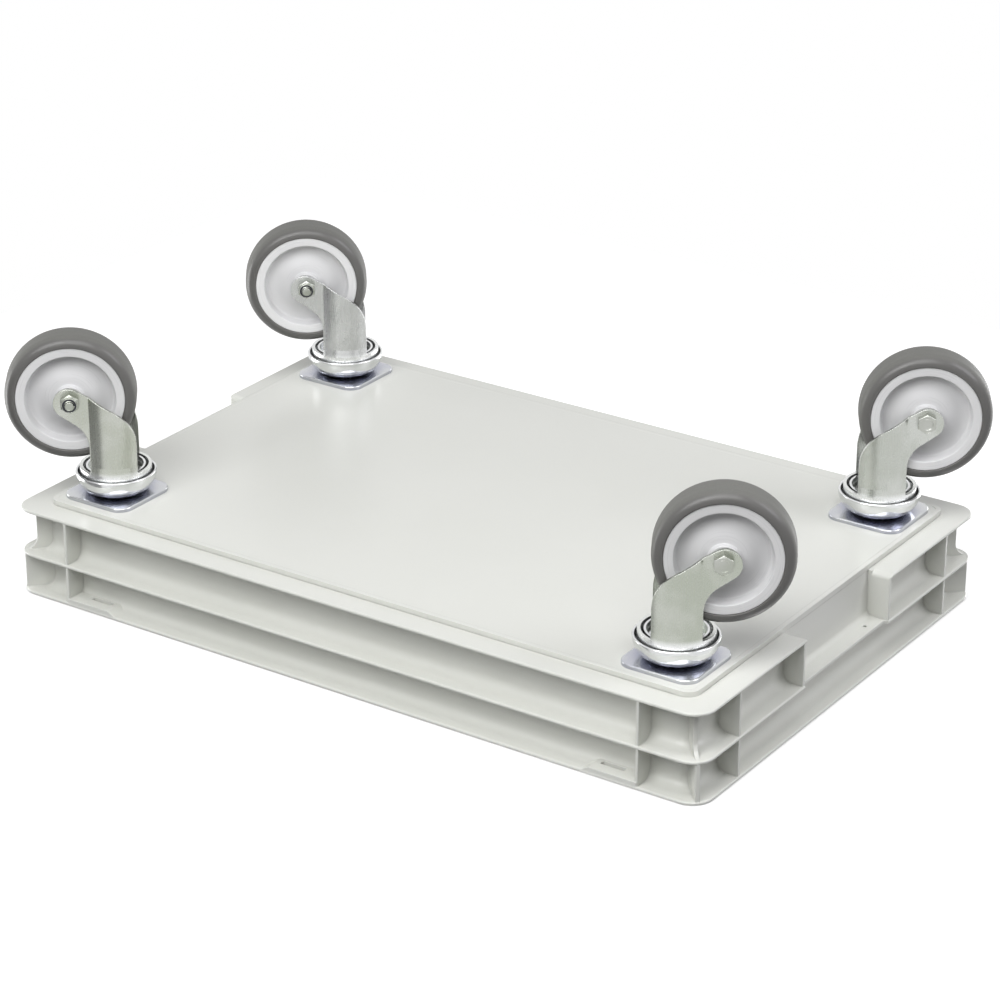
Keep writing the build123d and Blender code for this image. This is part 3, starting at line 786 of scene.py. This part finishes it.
# %% Ring round the underside panel
foot_length = 562 * mm
foot_width = 362 * mm
foot_corner_r = 14 * mm
foot_rounding = 3.8 * mm
foot_sunk = 4.5 * mm
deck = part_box("tray")[0].z
bpy.ops.object.select_all(action="DESELECT")
bpy.ops.mesh.primitive_plane_add(size=1, location=(0, 0, deck))
foot_edge = bpy.context.object
foot_edge.scale = (foot_length, foot_width, 1)
bpy.ops.object.transform_apply(location=True, rotation=True, scale=True)
bpy.ops.object.mode_set(mode="EDIT")
bpy.ops.mesh.select_all(action="SELECT")
bpy.ops.mesh.bevel(affect="VERTICES", offset=foot_corner_r, offset_type="WIDTH", segments=12)
bpy.ops.mesh.select_all(action="SELECT")
bpy.ops.mesh.inset(thickness=foot_rounding)
bpy.ops.mesh.delete(type="FACE")
bpy.ops.mesh.select_all(action="SELECT")
bpy.ops.mesh.extrude_region_move(TRANSFORM_OT_translate={"value": (0, 0, foot_sunk)})
bpy.ops.mesh.select_all(action="SELECT")
bpy.ops.mesh.normals_make_consistent(inside=False)
bpy.ops.object.mode_set(mode="OBJECT")
joined([foot_edge])
fitted(foot_edge, "foot_edge", "tray", tray_finish)
print("foot edge", len(foot_edge.data.polygons), "faces,", [round(side, 3) for side in foot_edge.dimensions])

# %% [markdown]
# ## Stage
# Two level sheets stand for what the dolly rests on. The floor, under the wheels, is seen from above. The
# bench, under the upturned rim, is seen from below by the main camera. Each sheet is see-through from
# behind, so it never hides the dolly, and only the camera sees it, so it blocks no light. A little glow
# keeps the open floor white, and close to the dolly the glow is painted darker as a contact shadow. One sheet
# could be moved for each view, but two serve every view as they stand.

# %% Floor and bench, each seen from one side
sheet_size = 1.4
sheet_gap = 0.2 * mm
contact_reach = 14 * mm
sheet_grey = (0.5, 0.5, 0.5, 1)
contact_grey = (0.13, 0.13, 0.13)
open_white = (1.0, 1.0, 1.0)
glow_level = 0.76


def ground(name, height, turn):
    """A wide pale sheet that shows only from its front."""
    bpy.ops.object.select_all(action="DESELECT")
    bpy.ops.mesh.primitive_plane_add(size=sheet_size, location=(0, 0, height), rotation=(turn, 0, 0))
    sheet = bpy.context.object
    sheet.name = name
    for ray in ("diffuse", "glossy", "transmission", "shadow"):
        setattr(sheet, f"visible_{ray}", False)
    material = bpy.data.materials.new(name)
    wiring = Wiring(material, "ShaderNodeOutputMaterial")
    paint = wiring.node("ShaderNodeBsdfDiffuse", {}, {"Color": sheet_grey})
    # Painted contact shadow: the glow is darker where the dolly stands within reach.
    open_share = wiring.node("ShaderNodeAmbientOcclusion", {"samples": 8}, {"Distance": contact_reach}, "AO")
    shade = mix(wiring, open_share, contact_grey, open_white)
    glow = wiring.node("ShaderNodeEmission", {}, {"Color": shade, "Strength": glow_level})
    front = wiring.node("ShaderNodeAddShader", {}, {0: paint, 1: glow})
    clear = wiring.node("ShaderNodeBsdfTransparent")
    behind = wiring.node("ShaderNodeNewGeometry", output="Backfacing")
    wiring.show(wiring.node("ShaderNodeMixShader", {}, {0: behind, 1: front, 2: clear}))
    sheet.data.materials.append(material)
    return sheet


floor = ground("floor", -sheet_gap, 0.0)
bench = ground("bench", rim_top + sheet_gap, math.pi)
print("floor at", round(floor.location.z, 4), "and bench at", round(bench.location.z, 4))

# %% [markdown]
# ### A dark card
# Bright metal looks like grey paint where all that it mirrors is white. Studios stand a dark card beside
# such an object, out of the picture, so that the metal mirrors a dark edge as well. Only mirror-like rays
# see this one, so it shades nothing.

# %% Card beside the casters, seen only in the metal
card_at = Vector((0.52, -0.60, 0.26))
card_size = 0.55
card_grey = (0.42, 0.42, 0.42, 1)
card_turn = (-card_at).to_track_quat("Z", "Y").to_euler()
bpy.ops.object.select_all(action="DESELECT")
bpy.ops.mesh.primitive_plane_add(size=card_size, location=card_at, rotation=card_turn)
card = bpy.context.object
card.name = "dark_card"
for ray in ("camera", "diffuse", "transmission", "shadow"):
    setattr(card, f"visible_{ray}", False)
card_paint = bpy.data.materials.new("dark_card")
card_wiring = Wiring(card_paint, "ShaderNodeOutputMaterial")
card_wiring.show(card_wiring.node("ShaderNodeBsdfDiffuse", {}, {"Color": card_grey}))
card.data.materials.append(card_paint)
print("dark card", round(card_at.length, 2), "m from the origin")

# %% [markdown]
# ## Light
# A product photograph like this has broad soft lights over the object and white all round. The sky here
# gives every surface a plain even level, and six broad lamps add to it. Three are below, which is over the
# dolly as photographed: one near the camera, one to the front and one to the left. The other three, above,
# behind and to the right, light the views of the upright dolly. A lamp's watts come from the level that it
# should add at the dolly, so that colours render about as they are written. A picture of a studio could
# light it all, but lamps can be placed one by one.

# %% Six broad lamps
def softbox(name, place, size, level, colour=(1, 1, 1)):
    """Add a square lamp that lights what faces it at the dolly's middle to a level, and return its watts."""
    throw = middle - Vector(place)
    turn = throw.to_track_quat("-Z", "Y").to_euler()
    bpy.ops.object.select_all(action="DESELECT")
    bpy.ops.object.light_add(type="AREA", location=place, rotation=turn)
    lamp = bpy.context.object
    lamp.name = name
    lamp.data.size = size
    lamp.data.color = colour
    lamp.data.energy = level * math.pi**2 * throw.length_squared
    lamp.visible_camera = False
    return round(lamp.data.energy, 1)


watts = [
    softbox("low_lamp", (-0.6, -0.9, -1.6), 1.4, 0.58),
    softbox("front_lamp", (0.2, -1.9, -1.6), 1.3, 0.42),
    softbox("left_lamp", (-1.9, 0.70, -1.35), 1.3, 0.32, (1.0, 0.99, 1.04)),
    softbox("high_lamp", (0.0, 0.0, 1.8), 1.6, 0.80),
    softbox("rear_lamp", (-0.45, 2.2, 0.5), 1.2, 0.34),
    softbox("right_lamp", (2.2, -0.55, 0.5), 1.2, 0.46),
]
print(len(watts), "lamps from", min(watts), "to", max(watts), "W")

# %% [markdown]
# ### Sky
# A sky that is white enough to be the picture's background would also flood the dolly with flat light. So
# the sky is white only where it is seen, directly or in a mirror-like surface, and lights the rest far more
# weakly.

# %% Even sky, white where it is seen
even_level = 0.12
world = bpy.data.worlds.new("studio")
bpy.context.scene.world = world
sky = Wiring(world, "ShaderNodeOutputWorld")
ray_kinds = ("Camera", "Glossy", "Transmission")
rays = [sky.node("ShaderNodeLightPath", output=f"Is {kind} Ray") for kind in ray_kinds]
shown = rays[0].math("MAXIMUM", rays[0], rays[1])
shown = shown.math("MAXIMUM", shown, rays[2])
even = sky.node("ShaderNodeBackground", {}, {"Color": (1, 1, 1, 1), "Strength": even_level})
white = sky.node("ShaderNodeBackground", {}, {"Color": (1, 1, 1, 1), "Strength": 1.0})
sky.show(sky.node("ShaderNodeMixShader", {}, {0: shown, 1: even, 2: white}))
bpy.context.scene.view_settings.view_transform = "Standard"
print("sky level", even_level)
